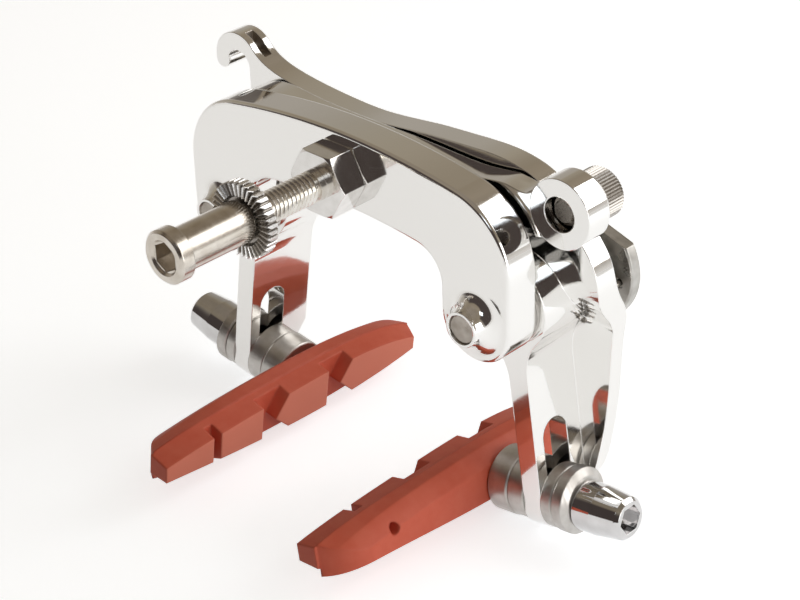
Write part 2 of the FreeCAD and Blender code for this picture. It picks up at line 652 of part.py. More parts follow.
def wire(start, end):
    """Straight run of spring wire with round ends."""
    run = Part.makeCylinder(SPRING_WIRE, (end - start).Length, start, end - start)
    return [run, Part.makeSphere(SPRING_WIRE, start), Part.makeSphere(SPRING_WIRE, end)]


def return_spring():
    """Torsion spring round the adjuster's sleeve: front leg in the adjuster, rear leg in the arm."""
    front = ADJUSTER_REAR - SPRING_WIRE - SLIDE_CLEARANCE
    rear = ARM_FRONT + SPRING_WIRE + SLIDE_CLEARANCE
    rise = (rear - front) / SPRING_HALF_TURNS
    lean = V(SPRING_RADIUS, -rise / 2.0, 0)
    pieces = []
    for half_turn in range(SPRING_HALF_TURNS):
        middle = V(0, front + rise * (half_turn + 0.5), 0)
        way = -1 if half_turn % 2 else 1
        side = V(way * lean.x, lean.y, 0)
        profile = Part.Face(Part.Wire(Part.makeCircle(SPRING_WIRE, middle + side, V(0, 0, 1))))
        pieces.append(profile.revolve(middle, V(way * lean.y, -lean.x, 0), -180))
    front_start = V(SPRING_RADIUS, front, 0)
    front_hole = V(SPRING_HOLE_RADIUS, front, 0)
    rear_end = V(-SPRING_RADIUS if SPRING_HALF_TURNS % 2 else SPRING_RADIUS, rear, 0)
    pieces += wire(front_start, front_hole)
    pieces += wire(front_hole, V(SPRING_HOLE_RADIUS, ADJUSTER_FRONT - SPRING_WIRE, 0))
    pieces += wire(rear_end, V(rear_end.x, ARM_FRONT - SPRING_TAIL + SPRING_WIRE, 0))
    spring = pieces[0].fuse(pieces[1:])
    spring.rotate(V(0, 0, 0), V(0, 1, 0), -SPRING_HOLE_TURN)
    spring.translate(V(PIVOT_X, 0, PIVOT_Z))
    return spring


def pivot_screw():
    """Screw in the pin's front end that keeps the adjuster and the arm on."""
    rear = HEAD_SEAT - SCREW_LENGTH
    front = HEAD_SEAT + SCREW_HEAD_LENGTH
    edge = SCREW_HEAD_CHAMFER
    screw = turned([
        (0, rear), (SCREW_RADIUS, rear), (SCREW_RADIUS, HEAD_SEAT), (SCREW_HEAD_RADIUS, HEAD_SEAT),
        (SCREW_HEAD_RADIUS, front - edge), (SCREW_HEAD_RADIUS - edge, front), (0, front)],
        PIVOT_X, PIVOT_Z)
    return screw.cut(prism(SCREW_KEY, 6, front - SCREW_KEY_DEPTH, front + OVERCUT, PIVOT_X, PIVOT_Z))


def dome(face, bulge):
    """Distance outward of a shallow spherical seat at the bore and at the rim."""
    bore = WASHER_BORE
    rise = DOME_RADIUS - math.sqrt(DOME_RADIUS ** 2 - WASHER_RADIUS ** 2)
    centre = face - DOME_RADIUS + bulge
    at_bore = centre + math.sqrt(DOME_RADIUS ** 2 - bore ** 2)
    half_way = (bore + WASHER_RADIUS) / 2
    at_half = centre + math.sqrt(DOME_RADIUS ** 2 - half_way ** 2)
    at_rim = face + bulge - rise
    return [(bore, at_bore), (half_way, at_half), (WASHER_RADIUS, at_rim)]


INNER_FACE = -SLIDE_CLEARANCE
INNER_SEAT = INNER_FACE - INNER_WASHER_THICKNESS
PAD_BACK = INNER_SEAT - INNER_SPACER_LENGTH
OUTER_FACE = LUG_THICKNESS + SLIDE_CLEARANCE
OUTER_SEAT = OUTER_FACE + OUTER_WASHER_THICKNESS
NUT_SEAT = OUTER_SEAT + OUTER_SPACER_THICKNESS
PAD_FACE = PAD_BACK - PAD_WIDTH


def inner_spacer():
    """Thick spacer against the pad, domed towards the arm."""
    seat = dome(INNER_SEAT, DOME_BULGE)
    edge = SMALL_CHAMFER
    foot = PAD_BACK + SLIDE_CLEARANCE
    return post_turned([
        (WASHER_BORE, foot), (INNER_SPACER_RADIUS - edge, foot), (INNER_SPACER_RADIUS, foot + edge),
        (INNER_SPACER_RADIUS, seat[2][1] - edge), seat[2], seat[1], seat[0]], WASHER_FLOAT)


def inner_washer():
    """Concave washer between the domed spacer and the arm."""
    seat = dome(INNER_SEAT + SLIDE_CLEARANCE, DOME_BULGE)
    return post_turned([
        (WASHER_BORE, INNER_FACE), seat[0], seat[1], seat[2], (WASHER_RADIUS, INNER_FACE)], WASHER_FLOAT)


def outer_washer():
    """Concave washer on the arm's outer face."""
    edge = SMALL_CHAMFER
    return post_turned([
        (WASHER_BORE, OUTER_FACE), (WASHER_RADIUS, OUTER_FACE), (WASHER_RADIUS, OUTER_SEAT - edge),
        (WASHER_RADIUS - edge, OUTER_SEAT), (WASHER_BORE, OUTER_SEAT)], WASHER_FLOAT)


def outer_spacer():
    """Thick chamfered washer under the nut."""
    edge = SMALL_CHAMFER
    across, along = OUTER_SPACER_BEVEL
    foot = OUTER_SEAT + SLIDE_CLEARANCE
    return post_turned([
        (WASHER_BORE, foot), (OUTER_SPACER_RADIUS - edge, foot), (OUTER_SPACER_RADIUS, foot + edge),
        (OUTER_SPACER_RADIUS, NUT_SEAT - along), (OUTER_SPACER_RADIUS - across, NUT_SEAT),
        (WASHER_BORE, NUT_SEAT)], WASHER_FLOAT)


def pad_post():
    """Threaded post moulded into the pad's back."""
    end = NUT_SEAT + POST_NUT_SHARE * PAD_NUT_LENGTH
    edge = STUD_CHAMFER
    return post_turned([
        (0, PAD_BACK - POST_EMBED), (POST_RADIUS, PAD_BACK - POST_EMBED), (POST_RADIUS, end - edge),
        (POST_RADIUS - edge, end), (0, end)])


def pad_nut():
    """Tapered nut with a key socket in its end."""
    seat = NUT_SEAT + SLIDE_CLEARANCE
    end = NUT_SEAT + PAD_NUT_LENGTH
    bore = POST_RADIUS + PRESS_CLEARANCE
    bore_end = seat + PAD_NUT_THREAD_SHARE * PAD_NUT_LENGTH
    taper = seat + PAD_NUT_TAPER_START * PAD_NUT_LENGTH
    edge = SMALL_CHAMFER
    tip = PAD_NUT_CHAMFER
    body = post_turned([
        (bore, seat), (PAD_NUT_RADIUS - edge, seat), (PAD_NUT_RADIUS, seat + edge),
        (PAD_NUT_RADIUS, taper), (PAD_NUT_TIP_RADIUS, end - tip), (PAD_NUT_TIP_RADIUS - tip, end),
        (0, end), (0, bore_end), (bore, bore_end)])
    socket = prism(HEX_KEY, 6, bore_end + SMALL_CHAMFER, end + OVERCUT)
    socket.rotate(V(0, 0, 0), V(0, 0, 1), -90)
    return body.cut(on_post(socket))


PAD_PARTING = PAD_FACE + BLOCK_THICKNESS
BASE_THICKNESS = PAD_WIDTH - BLOCK_THICKNESS

# Heights of the pad's edges at five places along it: the friction face's top and bottom, the
# block's top and bottom at the parting, the base's top and bottom there, the top of the back's
# roll, and the back's top and bottom
PAD_STATIONS = [
    (-46.5, 5.8, 2.4, 6.4, 2.4, 6.6, 0.5, 4.9, 2.9, 1.6),
    (-30.0, 7.0, 0.5, 7.9, -2.2, 8.1, -2.6, 7.5, 4.7, 0.4),
    (-8.0, 7.5, -1.1, 7.9, -3.4, 8.2, -3.7, 8.0, 5.2, -1.7),
    (10.0, 6.8, -0.8, 7.3, -3.2, 7.5, -3.6, 6.9, 4.2, -2.0),
    (27.0, 2.3, 1.5, 2.8, 0.2, 3.2, -0.3, 2.4, 1.5, 0.6),
]


def pad_block_section(station):
    y, face_top, face_bottom, block_top, block_bottom = station[:5]
    corners = [V(PAD_FACE, y, face_top), V(PAD_FACE, y, face_bottom), V(PAD_PARTING, y, block_bottom),
               V(PAD_PARTING, y, block_top)]
    return Part.makePolygon(corners + corners[:1])


def pad_base_section(station):
    y = station[0]
    base_top, base_bottom, roll_top, back_top, back_bottom = station[5:]
    share, rise = BACK_ROLL_SHOULDER
    crown = V(PAD_BACK - BACK_ROLL, y, roll_top)
    shoulder = V(PAD_BACK - BACK_ROLL * share, y, (roll_top + back_top) / 2.0 + rise)
    back = V(PAD_BACK, y, back_top)
    heel = V(PAD_BACK, y, back_bottom)
    low = V(PAD_PARTING, y, base_bottom)
    high = V(PAD_PARTING, y, base_top)
    return Part.Wire([Part.makeLine(high, crown), Part.Arc(crown, shoulder, back).toShape(),
                      Part.makeLine(back, heel), Part.makeLine(heel, low), Part.makeLine(low, high)])


def along_pad(sections):
    return Part.makeLoft(sections, True, False)


def upright(wire_edges):
    """Solid over the pad's whole height, with the outline the edges make as seen from above."""
    face = Part.Face(Part.Wire(Part.__sortEdges__(wire_edges)))
    face.translate(V(0, 0, -REACH / 2))
    return face.extrude(V(0, 0, REACH))


def flat_line(start, end):
    return Part.makeLine(V(start[0], start[1], 0), V(end[0], end[1], 0))


def end_round(end, direction):
    """Arc in plan where the pad's back curves in towards the block at one end."""
    across, along = PAD_END_FULLNESS
    foot = V(PAD_PARTING, end, 0)
    middle = V(PAD_BACK - across * BASE_THICKNESS, end - direction * along * PAD_END_ROUND, 0)
    top = V(PAD_BACK, end - direction * PAD_END_ROUND, 0)
    return Part.Arc(foot, middle, top).toShape()


def plow_groove(nose):
    """Groove across the block that ends at the next piece's plow-shaped nose."""
    rear = nose - PLOW_GROOVE_WIDTH
    back, height = PLOW_SLOPES
    top = PLOW_NOSE_HEIGHT + PLOW_SPREAD * height
    low = PLOW_NOSE_HEIGHT - PLOW_SPREAD
    outline = [V(PAD_FACE - OVERCUT, y, z) for y, z in (
        (rear, low), (nose + PLOW_SPREAD, low), (nose, PLOW_NOSE_HEIGHT),
        (nose + PLOW_SPREAD * back, top), (rear, top), (rear, low))]
    return Part.Face(Part.makePolygon(outline)).extrude(V(GROOVE_DEPTH + OVERCUT, 0, 0))


def brake_pad():
    """Moulded rubber pad: a base round the post, and a block cut in four by three grooves."""
    base_rear = -PAD_REAR + BASE_SETBACK
    base_plan = upright([
        flat_line((PAD_PARTING, base_rear), (PAD_PARTING, PAD_FRONT)),
        end_round(PAD_FRONT, 1),
        flat_line((PAD_BACK, PAD_FRONT - PAD_END_ROUND), (PAD_BACK, base_rear + PAD_END_ROUND)),
        end_round(base_rear, -1)])
    block_plan = upright([
        flat_line((PAD_FACE, -PAD_REAR), (PAD_PARTING, -PAD_REAR)),
        flat_line((PAD_PARTING, -PAD_REAR), (PAD_PARTING, PAD_FRONT)),
        flat_line((PAD_PARTING, PAD_FRONT), (PAD_FACE, PAD_FRONT - BLOCK_FRONT_SLANT)),
        flat_line((PAD_FACE, PAD_FRONT - BLOCK_FRONT_SLANT), (PAD_FACE, -PAD_REAR))])
    base = along_pad([pad_base_section(station) for station in PAD_STATIONS]).common(base_plan)
    block = along_pad([pad_block_section(station) for station in PAD_STATIONS]).common(block_plan)
    narrow = Part.makeBox(GROOVE_DEPTH + OVERCUT, NARROW_GROOVE[1] - NARROW_GROOVE[0], REACH,
                          V(PAD_FACE - OVERCUT, NARROW_GROOVE[0], -REACH / 2))
    block = block.cut([narrow] + [plow_groove(nose) for nose in PLOW_NOSES])
    pad = base.fuse(block)
    pad = pad.cut(Part.makeCylinder(POST_RADIUS + PRESS_CLEARANCE, POST_EMBED,
                                    V(PAD_BACK - POST_EMBED, 0, 0), V(1, 0, 0)))
    hole_y, hole_z = MOULD_HOLE_PLACE
    pad = pad.cut(Part.makeCylinder(MOULD_HOLE_RADIUS, MOULD_HOLE_DEPTH,
                                    V(PAD_BACK - MOULD_HOLE_DEPTH, hole_y, hole_z), V(1, 0, 0)))
    return on_post(pad)


def both_sides(name, shape):
    save(name + "_right", shape)
    save(name + "_left", mirrored(shape))


save("back_plate", back_plate())
save("mounting_stud", mounting_stud())
save("serrated_washer", serrated_washer())
save("recessed_nut", recessed_nut())
save("hook_arm", hook_arm())
save("anchor_arm", anchor_arm())
save("anchor_bolt", anchor_bolt())
save("anchor_washer", ring(
    ANCHOR_WASHER_RADIUS, ANCHOR_HOLE, HUB_REAR + STRIP_THICKNESS,
    HUB_REAR + STRIP_THICKNESS + ANCHOR_WASHER_THICKNESS, ANCHOR_X, ANCHOR_Z))

both_sides("pivot_pin", pivot_pin())
both_sides("pivot_bush", ring(
    PIN_RADIUS + RUNNING_CLEARANCE + BUSH_WALL, PIN_RADIUS + RUNNING_CLEARANCE, HUB_REAR, ARM_FRONT,
    PIVOT_X, PIVOT_Z))
both_sides("thrust_washer", ring(
    THRUST_WASHER_RADIUS, PIN_RADIUS + RUNNING_CLEARANCE, PLATE_FRONT, HUB_REAR - SLIDE_CLEARANCE,
    PIVOT_X, PIVOT_Z))
both_sides("arm_washer", ring(
    ARM_WASHER_RADIUS, PIN_RADIUS + RUNNING_CLEARANCE, ARM_FRONT + SLIDE_CLEARANCE / 2,
    ARM_FRONT + ARM_WASHER_THICKNESS, PIVOT_X, PIVOT_Z))
both_sides("return_spring", return_spring())
both_sides("spring_adjuster", spring_adjuster())
both_sides("pivot_screw", pivot_screw())
both_sides("inner_spacer", inner_spacer())
both_sides("inner_washer", inner_washer())
both_sides("outer_washer", outer_washer())
both_sides("outer_spacer", outer_spacer())
both_sides("pad_post", pad_post())
both_sides("pad_nut", pad_nut())
both_sides("brake_pad", brake_pad())
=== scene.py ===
# %% [markdown]
# A centre-pull rim brake for a bicycle. Two polished arms cross in front of one forged back plate,
# each turns on a pin in the plate, and each carries a red rubber pad on a slotted lug. The brake's
# solids come from its frame, which is loaded here. This file gives them light, a camera and real
# finishes, and adds what a solid model leaves out, such as the thread of the mounting stud.

# %% Load the frame
import math

import bmesh
import bpy
from mathutils import Matrix, Vector


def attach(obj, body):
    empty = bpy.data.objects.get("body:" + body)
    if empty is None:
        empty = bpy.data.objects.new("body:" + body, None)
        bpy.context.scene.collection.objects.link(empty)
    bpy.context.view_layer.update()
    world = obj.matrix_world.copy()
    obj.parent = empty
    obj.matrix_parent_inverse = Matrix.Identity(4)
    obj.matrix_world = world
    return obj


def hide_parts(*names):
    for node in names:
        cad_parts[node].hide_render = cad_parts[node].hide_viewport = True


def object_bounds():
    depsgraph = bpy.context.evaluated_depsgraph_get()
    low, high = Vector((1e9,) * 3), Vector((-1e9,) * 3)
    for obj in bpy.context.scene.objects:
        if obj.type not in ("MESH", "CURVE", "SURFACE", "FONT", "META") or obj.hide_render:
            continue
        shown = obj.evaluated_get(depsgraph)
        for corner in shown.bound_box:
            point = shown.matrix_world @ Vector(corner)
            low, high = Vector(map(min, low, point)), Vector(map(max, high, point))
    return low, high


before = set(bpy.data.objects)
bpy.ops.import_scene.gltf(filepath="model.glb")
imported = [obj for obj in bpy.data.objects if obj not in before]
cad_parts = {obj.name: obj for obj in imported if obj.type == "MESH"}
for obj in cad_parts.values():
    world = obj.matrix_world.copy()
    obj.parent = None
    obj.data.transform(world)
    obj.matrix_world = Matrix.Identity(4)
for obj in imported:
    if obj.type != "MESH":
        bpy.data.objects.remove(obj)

cad_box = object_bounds()
MM = 0.001

# %% [markdown]
# A photograph fixes the view. The brake was seen from behind and above, at its right side: the
# camera turned 44 degrees from the wheel's plane and looked down by 30. A long lens from 39 cm
# keeps the near pad and the far pad at nearly the same scale. The camera's axes are worked out
# from the turn, the height and a small roll, and then put in a matrix, because a matrix has no
# gimbal to go wrong.

# %% Camera
VIEW_TURN = math.radians(44.024)
VIEW_HEIGHT = math.radians(30.136)
VIEW_ROLL = math.radians(-1.415)
VIEW_DISTANCE = 388.5 * MM
VIEW_CENTRE = Vector((15.71, 4.70, -20.11)) * MM
FOCAL_LENGTH = 96.29
SENSOR_WIDTH = 36.0
CLIP_START = 0.01

back = Vector((math.sin(VIEW_TURN) * math.cos(VIEW_HEIGHT),
               -math.cos(VIEW_TURN) * math.cos(VIEW_HEIGHT), math.sin(VIEW_HEIGHT)))
level_right = Vector((math.cos(VIEW_TURN), math.sin(VIEW_TURN), 0.0))
level_up = back.cross(level_right)
right = math.cos(VIEW_ROLL) * level_right + math.sin(VIEW_ROLL) * level_up
up = math.cos(VIEW_ROLL) * level_up - math.sin(VIEW_ROLL) * level_right

camera_data = bpy.data.cameras.new("view")
camera_data.lens = FOCAL_LENGTH
camera_data.sensor_width = SENSOR_WIDTH
camera_data.clip_start = CLIP_START
camera = bpy.data.objects.new("view", camera_data)
turn = Matrix((right, up, back)).transposed().to_4x4()
camera.matrix_world = Matrix.Translation(VIEW_CENTRE + VIEW_DISTANCE * back) @ turn
bpy.context.scene.collection.objects.link(camera)
bpy.context.scene.camera = camera
print("camera at", [round(value, 4) for value in camera.matrix_world.translation])

# %% [markdown]
# Every finish below is a small node tree. A few helpers keep them short: one turns a colour from
# the hex value that a picture shows to the linear value that light is worked out in, and another
# adds a node, sets it and joins it to the nodes before it.

# %% Helpers for colours and nodes
SRGB_KNEE = 0.04045
SRGB_SLOPE = 12.92
SRGB_OFFSET = 0.055
SRGB_POWER = 2.4
BRICK_RED = "#C95A42"


def colour(hex_value):
    """Linear colour, with alpha, from an sRGB hex value."""
    channels = [int(hex_value[place:place + 2], 16) / 255 for place in (1, 3, 5)]
    linear = [value / SRGB_SLOPE if value <= SRGB_KNEE
              else ((value + SRGB_OFFSET) / (1.0 + SRGB_OFFSET)) ** SRGB_POWER
              for value in channels]
    return (*linear, 1.0)


def add_node(tree, kind, settings, inputs):
    """Adds a node with its settings; an input is a value, or an output of another node."""
    node = tree.nodes.new(kind)
    for name, value in settings.items():
        setattr(node, name, value)
    for name, value in inputs.items():
        if isinstance(value, bpy.types.NodeSocket):
            tree.links.new(value, node.inputs[name])
        else:
            node.inputs[name].default_value = value
    return node


def empty_material(name):
    """Material with an empty node tree."""
    material = bpy.data.materials.new(name)
    material.use_nodes = True
    material.node_tree.nodes.clear()
    return material, material.node_tree


print("brick red in linear light:", [round(value, 3) for value in colour(BRICK_RED)[:3]])

# %% [markdown]
# Polished metal has hardly any colour of its own: it shows the room. The tones that the photograph's
# brake shows can be read back as a room: white paper below, a warm grey ceiling, and a dark side
# behind the camera, where the photographer stands. The world is that room. Its tone comes from the
# height of each direction through a ramp, and soft streaks of noise keep the walls from looking
# even. A picture of a real studio could do this too, but a ramp is easier to match tone by tone.

# %% Tones of the room
ROOM_TONES = [
    (0.00, "#F4F4F4"),
    (0.45, "#F0EFED"),
    (0.50, "#DEDAD5"),
    (0.57, "#B0A9A0"),
    (0.67, "#A8A196"),
    (0.75, "#9C9383"),
    (0.83, "#908472"),
    (1.00, "#8A8074"),
]
NOISE_MIDDLE = (0.3, 0.7)
STREAK_SCALE = 2.2
STREAK_LEVELS = (0.86, 1.10)


def fill_ramp(ramp, tones):
    """Puts the tones into a colour ramp."""
    while len(ramp.elements) < len(tones):
        ramp.elements.new(0.5)
    for element, (place, tone) in zip(ramp.elements, tones):
        element.position = place
        element.color = colour(tone)


world = bpy.data.worlds.new("studio room")
bpy.context.scene.world = world
world.use_nodes = True
room = world.node_tree
room.nodes.clear()
direction = add_node(room, "ShaderNodeTexCoord", {}, {}).outputs["Generated"]
height = add_node(room, "ShaderNodeSeparateXYZ", {}, {"Vector": direction}).outputs["Z"]
# Height runs from -1 to 1, and a ramp from 0 to 1
share = add_node(room, "ShaderNodeMath", {"operation": "MULTIPLY_ADD"}, {0: height, 1: 0.5, 2: 0.5})
tones = add_node(room, "ShaderNodeValToRGB", {}, {"Fac": share.outputs[0]})
fill_ramp(tones.color_ramp, ROOM_TONES)
streaks = add_node(room, "ShaderNodeTexNoise", {}, {
    "Vector": direction, "Scale": STREAK_SCALE, "Detail": 2.0})
streak_level = add_node(room, "ShaderNodeMapRange", {}, {
    "Value": streaks.outputs["Fac"], "From Min": NOISE_MIDDLE[0], "From Max": NOISE_MIDDLE[1],
    "To Min": STREAK_LEVELS[0], "To Max": STREAK_LEVELS[1]})
toned = add_node(room, "ShaderNodeMix", {"data_type": "RGBA", "blend_type": "MULTIPLY"}, {
    0: 1.0, 6: tones.outputs["Color"], 7: streak_level.outputs["Result"]})
print("room tones:", len(ROOM_TONES))

# %% [markdown]
# The dark side is a soft-edged window that is laid over these tones. Sideways it is measured by how
# well a level direction agrees with the window's middle, and upright by the distance from the
# window's height. A dark card in the scene would give the same reflections, but it would also stand
# in the way of the other views. Whatever looks straight at the room sees a white page, as in the
# photograph, and the page adds no light to the brake.

# %% Dark side and white page
DARK_SIDE_TONE = "#4A423F"
DARK_SIDE_AZIMUTH = math.radians(4)
DARK_SIDE_EDGES = (0.42, 0.62)
DARK_SIDE_HEIGHT = 0.24
DARK_SIDE_REACH = (0.36, 0.46)
ROOM_LEVEL = 1.0
PAGE_LEVEL = 1.0

level = add_node(room, "ShaderNodeVectorMath", {"operation": "MULTIPLY"}, {0: direction, 1: (1, 1, 0)})
compass = add_node(room, "ShaderNodeVectorMath", {"operation": "NORMALIZE"}, {0: level.outputs[0]})
towards_dark = add_node(room, "ShaderNodeVectorMath", {"operation": "DOT_PRODUCT"}, {
    0: compass.outputs[0], 1: (math.sin(DARK_SIDE_AZIMUTH), -math.cos(DARK_SIDE_AZIMUTH), 0)})
across = add_node(room, "ShaderNodeMapRange", {"interpolation_type": "SMOOTHSTEP"}, {
    "Value": towards_dark.outputs["Value"],
    "From Min": DARK_SIDE_EDGES[0], "From Max": DARK_SIDE_EDGES[1]})
above = add_node(room, "ShaderNodeMath", {"operation": "SUBTRACT"}, {0: height, 1: DARK_SIDE_HEIGHT})
apart = add_node(room, "ShaderNodeMath", {"operation": "ABSOLUTE"}, {0: above.outputs[0]})
upright = add_node(room, "ShaderNodeMapRange", {"interpolation_type": "SMOOTHSTEP"}, {
    "Value": apart.outputs[0], "From Min": DARK_SIDE_REACH[0], "From Max": DARK_SIDE_REACH[1],
    "To Min": 1.0, "To Max": 0.0})
in_dark = add_node(room, "ShaderNodeMath", {"operation": "MULTIPLY"}, {
    0: across.outputs["Result"], 1: upright.outputs["Result"]})
shaded = add_node(room, "ShaderNodeMix", {"data_type": "RGBA"}, {
    0: in_dark.outputs[0], 6: toned.outputs[2], 7: colour(DARK_SIDE_TONE)})
seen_by = add_node(room, "ShaderNodeLightPath", {}, {})
walls = add_node(room, "ShaderNodeBackground", {}, {"Color": shaded.outputs[2], "Strength": ROOM_LEVEL})
page = add_node(room, "ShaderNodeBackground", {}, {"Color": (1, 1, 1, 1), "Strength": PAGE_LEVEL})
room_mix = add_node(room, "ShaderNodeMixShader", {}, {
    0: seen_by.outputs["Is Camera Ray"], 1: walls.outputs[0], 2: page.outputs[0]})
add_node(room, "ShaderNodeOutputWorld", {}, {"Surface": room_mix.outputs[0]})
bpy.context.scene.view_settings.view_transform = "Standard"
print("room nodes:", len(room.nodes))

# %% [markdown]
# Two broad soft boxes stand at the brake's right side. The front one draws the white bands along
# the barrel and the bosses. The other is low at the side, because the pads' sides are brighter than
# their tops. A third and small one hangs high up, with the blue of daylight, and gives the cold
# glints on the bosses. Each lamp's power is worked out from its radiance and its area, so that a
# box can change its size and keep its brightness.

# %% Lamps
BOX_DISTANCE = 0.62
WHITE = (1.0, 1.0, 1.0)
DAYLIGHT_BLUE = (0.86, 0.93, 1.0)


def soft_box(name, azimuth, height, width, radiance, tint):
    """Square lamp that faces the brake from an azimuth and a height in degrees."""
    lamp = bpy.data.lights.new(name, "AREA")
    lamp.shape = "SQUARE"
    lamp.size = width
    lamp.energy = radiance * math.pi * width ** 2
    lamp.color = tint
    place = Vector((math.sin(math.radians(azimuth)) * math.cos(math.radians(height)),
                    -math.cos(math.radians(azimuth)) * math.cos(math.radians(height)),
                    math.sin(math.radians(height))))
    box = bpy.data.objects.new(name, lamp)
    facing = place.to_track_quat("Z", "Y").to_matrix().to_4x4()
    box.matrix_world = Matrix.Translation(VIEW_CENTRE + BOX_DISTANCE * place) @ facing
    bpy.context.scene.collection.objects.link(box)
    return lamp.energy


powers = [
    soft_box("soft_box_front", azimuth=146, height=31, width=0.46, radiance=2.6, tint=WHITE),
    soft_box("soft_box_side", azimuth=92, height=9, width=0.42, radiance=3.0, tint=WHITE),
    soft_box("soft_box_high", azimuth=30, height=40, width=0.16, radiance=2.0, tint=DAYLIGHT_BLUE),
]
print("lamp powers in watts:", [round(power, 2) for power in powers])

# %% [markdown]
# The floor is plain pale paper. Stronger lamps would make it white, but would bleach the brake as
# well. So its material adds a little light of its own, only for what looks at it directly, in a
# mirror or through glass. It ends near white that way and still keeps a faint shadow.

# %% Floor
FLOOR_SIZE = 6.0
FLOOR_GAP = 0.3 * MM
PAPER_TINT = "#E2E7EC"
GLOW_IN_MIRRORS = 0.55
MORE_GLOW_IN_VIEW = 0.09

# Matt paper: a pale and slightly cool ground without any shine
paper, tree = empty_material("matt paper")
seen_by = add_node(tree, "ShaderNodeLightPath", {}, {})
matt = add_node(tree, "ShaderNodeBsdfDiffuse", {}, {"Color": colour(PAPER_TINT)})
glow_level = add_node(tree, "ShaderNodeMath", {"operation": "MULTIPLY_ADD"}, {
    0: seen_by.outputs["Is Camera Ray"], 1: MORE_GLOW_IN_VIEW, 2: GLOW_IN_MIRRORS})
glow = add_node(tree, "ShaderNodeEmission", {}, {
    "Color": (1, 1, 1, 1), "Strength": glow_level.outputs[0]})
lit = add_node(tree, "ShaderNodeAddShader", {}, {0: matt.outputs[0], 1: glow.outputs[0]})
direct = add_node(tree, "ShaderNodeMath", {"operation": "MAXIMUM"}, {
    0: seen_by.outputs["Is Camera Ray"], 1: seen_by.outputs["Is Glossy Ray"]})
looked_at = add_node(tree, "ShaderNodeMath", {"operation": "MAXIMUM"}, {
    0: direct.outputs[0], 1: seen_by.outputs["Is Transmission Ray"]})
surface = add_node(tree, "ShaderNodeMixShader", {}, {
    0: looked_at.outputs[0], 1: matt.outputs[0], 2: lit.outputs[0]})
add_node(tree, "ShaderNodeOutputMaterial", {}, {"Surface": surface.outputs[0]})

floor_shape = bmesh.new()
floor_height = cad_box[0][2] - FLOOR_GAP
bmesh.ops.create_grid(floor_shape, x_segments=1, y_segments=1, size=FLOOR_SIZE / 2,
                      matrix=Matrix.Translation((0, 0, floor_height)))
floor_mesh = bpy.data.meshes.new("floor")
floor_shape.to_mesh(floor_mesh)
floor_shape.free()
floor = bpy.data.objects.new("floor", floor_mesh)
floor.data.materials.append(paper)
bpy.context.scene.collection.objects.link(floor)
print("floor at", round(floor_height, 4))

# %% [markdown]
# All the finishes share two patterns. Grain is noise with features of a size in millimetres, which
# can be drawn out along an axis, as the marks of a tool are. Noise seldom leaves the middle of its
# range, so that middle is spread over the span that a roughness or a tint should have. Edges are
# rounded by a bevel node, which turns the normal near an edge, because the frame's solids keep
# their sharp edges.

# %% Grain and rounded edges
TO_METRES = 1.0 / MM
BEVEL_SAMPLES = 8


def rounded_normal(tree, radius):
    """Normal that is turned smoothly across sharp edges."""
    bevel = add_node(tree, "ShaderNodeBevel", {"samples": BEVEL_SAMPLES}, {"Radius": radius})
    return bevel.outputs["Normal"]


def grain(tree, size, stretch=(1.0, 1.0, 1.0), detail=2.0):
    """Noise with features of a size in millimetres, drawn out along some axes."""
    place = add_node(tree, "ShaderNodeTexCoord", {}, {}).outputs["Object"]
    mapped = add_node(tree, "ShaderNodeMapping", {"vector_type": "TEXTURE"}, {
        "Vector": place, "Scale": stretch}).outputs["Vector"]
    noise = add_node(tree, "ShaderNodeTexNoise", {}, {
        "Vector": mapped, "Scale": TO_METRES / size, "Detail": detail})
    return noise.outputs["Fac"]


def between(tree, value, span):
    """Spreads a noise's middle range over a span."""
    spread = add_node(tree, "ShaderNodeMapRange", {}, {
        "Value": value, "From Min": NOISE_MIDDLE[0], "From Max": NOISE_MIDDLE[1],
        "To Min": span[0], "To Max": span[1]})
    return spread.outputs["Result"]


print("middle of the noise:", NOISE_MIDDLE)

# %% [markdown]
# The arms and the plate are forged aluminium, polished on a cloth wheel. Such a surface is nearly a
# mirror, but the wheel leaves slow waves that bend reflections, hairlines along its path, and edges
# rounded to about a third of a millimetre. The wheel can't reach into the narrow slot for the
# cable, where the metal keeps the rougher finish that the milling cutter left; its darker grey-brown
# tint is painted shade in the narrow slot. The slot belongs to the same solid, so an upright box
# marks it in the material.

# %% Polished aluminium
EDGE_ROUND = 0.30 * MM
POLISHED_TINT = "#F1F0EE"
POLISHED_ROUGHNESS = (0.05, 0.11)
WAVE_SIZE = 9.0
WAVE_STRENGTH = 0.10
WAVE_DEPTH = 0.30 * MM
HAIRLINE_SIZE = 0.25
HAIRLINE_STRETCH = (14.0, 14.0, 1.0)
HAIRLINE_STRENGTH = 0.05
HAIRLINE_DEPTH = 0.01 * MM
# Darker grey-brown tint in the cable slot: painted shade; its roughness is the milled finish
SLOT_SHADE_TINT = "#A59B90"
MILLED_ROUGHNESS = 0.40
CABLE_SLOT_CENTRE = (-34.40, 22.10, 13.70)
CABLE_SLOT_SIZE = (11.84, 1.92, 11.84)


